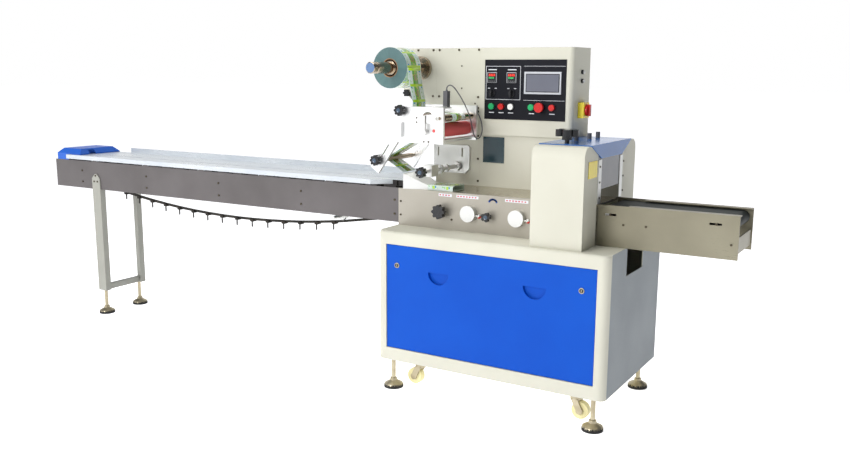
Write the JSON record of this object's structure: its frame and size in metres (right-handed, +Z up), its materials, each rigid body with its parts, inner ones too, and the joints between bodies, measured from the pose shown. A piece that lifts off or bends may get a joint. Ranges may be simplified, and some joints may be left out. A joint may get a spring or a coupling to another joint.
{
  "type": "horizontal flow wrapper",
  "caption": "Horizontal flow-wrapping machine with pusher infeed, film unwind and feed head, control box, end-sealing guard and outfeed belt, on a floor cabinet and stand.",
  "frame": {"origin": "on the floor under the middle of the machine's box", "axes": "+X with the product from infeed to outfeed, -Y to the operator's side, +Z up"},
  "size_m": [3.74, 0.64, 1.455],
  "materials": {
    "cream_paint": "satin powder coat",
    "blue_panel": "gloss powder coat",
    "zinc": "zinc plated",
    "nylon": "moulded nylon",
    "side_steel": "brushed sheet",
    "table_steel": "bright sheet",
    "blue_paint": "gloss paint",
    "grey_paint": "satin paint",
    "chain_steel": "oiled steel",
    "bed_steel": "ground plate",
    "black_plastic": "moulded",
    "satin_steel": "satin",
    "white_aluminium": "anodised",
    "chrome_steel": "polished",
    "red_rubber": "ground",
    "film_side": "wound film edge",
    "film": "printed film",
    "dark_grey_plastic": "moulded",
    "panel_overlay": "printed overlay",
    "screen": "bezel and glass",
    "switch_plastic": "moulded",
    "yellow_plastic": "moulded",
    "dark_window": "tinted sheet",
    "visor_plastic": "tinted acrylic",
    "belt_pvc": "conveyor belting"
  },
  "bodies": {
    "machine": {"access_panel": "blue_panel", "bed_front_plate": "bed_steel", "bed_top": "bed_steel", "cabinet_front_frame": "cream_paint", "cabinet_walls": "cream_paint", "chain_sprockets": "satin_steel", "control_box": "cream_paint", "control_panel": "panel_overlay", "feeder_frame": "white_aluminium", "film_fittings": "black_plastic", "film_plates": "cream_paint", "film_sensor": "dark_grey_plastic", "film_tube": "film", "film_web": "film", "forming_box": "satin_steel", "guard_panes": "visor_plastic", "guard_strips": "satin_steel", "guard_visor": "visor_plastic", "guard_wings": "cream_paint", "guide_bracket": "satin_steel", "housing_window": "dark_window", "infeed_end_cover": "blue_paint", "infeed_sides": "side_steel", "infeed_table": "table_steel", "isolator_plate": "yellow_plastic", "levelling_feet": "zinc", "lower_housing": "cream_paint", "outfeed_belt": "belt_pvc", "outfeed_frame": "bed_steel", "outfeed_rollers": "satin_steel", "panel_displays": "screen", "panel_switches": "switch_plastic", "pusher_chain": "chain_steel", "rear_casters": "zinc", "sealing_head": "dark_grey_plastic", "sensor_cable": "dark_grey_plastic", "stand_frame": "grey_paint", "stop_button": "switch_plastic"},
    "film_reel": {"film_spindle": "chrome_steel", "film_roll": "film_side"},
    "feed_roller": {"feed_roller": "red_rubber"},
    "guide_roller": {"guide_roller": "chrome_steel"},
    "idler_roller": {"idler_roller": "chrome_steel"},
    "bed_handwheel": {"bed_handwheel": "black_plastic"},
    "sealing_lever_left": {"sealing_lever_left": "satin_steel"},
    "sealing_lever_right": {"sealing_lever_right": "satin_steel"},
    "bed_star_knob": {"bed_star_knob": "black_plastic"},
    "nip_lever": {"nip_lever": "satin_steel"},
    "clamp_knob_upper": {"clamp_knob_upper": "black_plastic"},
    "clamp_knob_arm": {"clamp_knob_arm": "black_plastic"},
    "clamp_knob_guide": {"clamp_knob_guide": "black_plastic"},
    "isolator_knob": {"isolator_knob": "switch_plastic"},
    "seal_knob": {"seal_knob": "black_plastic"},
    "caster_fork_left": {"caster_fork_left": "zinc"},
    "caster_wheel_left": {"caster_wheel_left": "nylon"},
    "caster_fork_right": {"caster_fork_right": "zinc"},
    "caster_wheel_right": {"caster_wheel_right": "nylon"}
  },
  "joints": [
    {"name": "film_reel_turn", "type": "hinge", "parent": "machine", "child": "film_reel", "pos_m": [0.405, -0.2, 1.368], "axis": [0, -1, 0], "continuous": true},
    {"name": "feed_roller_turn", "type": "hinge", "parent": "machine", "child": "feed_roller", "pos_m": [0.672, -0.1, 1.116], "axis": [0, -1, 0], "continuous": true},
    {"name": "guide_roller_turn", "type": "hinge", "parent": "machine", "child": "guide_roller", "pos_m": [0.697, -0.1, 1.167], "axis": [0, -1, 0], "continuous": true},
    {"name": "idler_roller_turn", "type": "hinge", "parent": "machine", "child": "idler_roller", "pos_m": [0.399, -0.1, 0.983], "axis": [0, -1, 0], "continuous": true},
    {"name": "handwheel_turn", "type": "hinge", "parent": "machine", "child": "bed_handwheel", "pos_m": [0.662, -0.17, 0.774], "axis": [0, -1, 0], "continuous": true},
    {"name": "sealing_lever_left_swing", "type": "hinge", "parent": "machine", "child": "sealing_lever_left", "pos_m": [0.792, -0.17, 0.774], "axis": [0, -1, 0], "range_deg": [0, 90]},
    {"name": "sealing_lever_right_swing", "type": "hinge", "parent": "machine", "child": "sealing_lever_right", "pos_m": [1.012, -0.17, 0.774], "axis": [0, -1, 0], "range_deg": [0, 90]},
    {"name": "star_knob_turn", "type": "hinge", "parent": "machine", "child": "bed_star_knob", "pos_m": [0.884, -0.17, 0.77], "axis": [0, -1, 0], "continuous": true},
    {"name": "nip_lever_swing", "type": "hinge", "parent": "machine", "child": "nip_lever", "pos_m": [0.638, -0.27, 1.11], "axis": [0, -1, 0], "range_deg": [0, 60]},
    {"name": "upper_knob_turn", "type": "hinge", "parent": "machine", "child": "clamp_knob_upper", "pos_m": [0.52, -0.26, 1.196], "axis": [0, -1, 0], "continuous": true},
    {"name": "arm_knob_turn", "type": "hinge", "parent": "machine", "child": "clamp_knob_arm", "pos_m": [0.399, -0.26, 0.983], "axis": [0, -1, 0], "continuous": true},
    {"name": "guide_knob_turn", "type": "hinge", "parent": "machine", "child": "clamp_knob_guide", "pos_m": [0.6, -0.22, 0.94], "axis": [0, -1, 0], "continuous": true},
    {"name": "isolator_turn", "type": "hinge", "parent": "machine", "child": "isolator_knob", "pos_m": [1.165, 0.177, 1.198], "axis": [1, 0, 0], "range_deg": [0, 90]},
    {"name": "seal_knob_turn", "type": "hinge", "parent": "machine", "child": "seal_knob", "pos_m": [1.215, -0.162, 1.1], "axis": [0, 0, 1], "continuous": true},
    {"name": "caster_left_swivel", "type": "hinge", "parent": "machine", "child": "caster_fork_left", "pos_m": [0.59, -0.21, 0.1], "axis": [0, 0, 1], "continuous": true},
    {"name": "caster_left_roll", "type": "hinge", "parent": "caster_fork_left", "child": "caster_wheel_left", "pos_m": [0.568, -0.21, 0.045], "axis": [0, 1, 0], "continuous": true},
    {"name": "caster_right_swivel", "type": "hinge", "parent": "machine", "child": "caster_fork_right", "pos_m": [1.31, -0.21, 0.1], "axis": [0, 0, 1], "continuous": true},
    {"name": "caster_right_roll", "type": "hinge", "parent": "caster_fork_right", "child": "caster_wheel_right", "pos_m": [1.332, -0.21, 0.045], "axis": [0, 1, 0], "continuous": true}
  ]
}
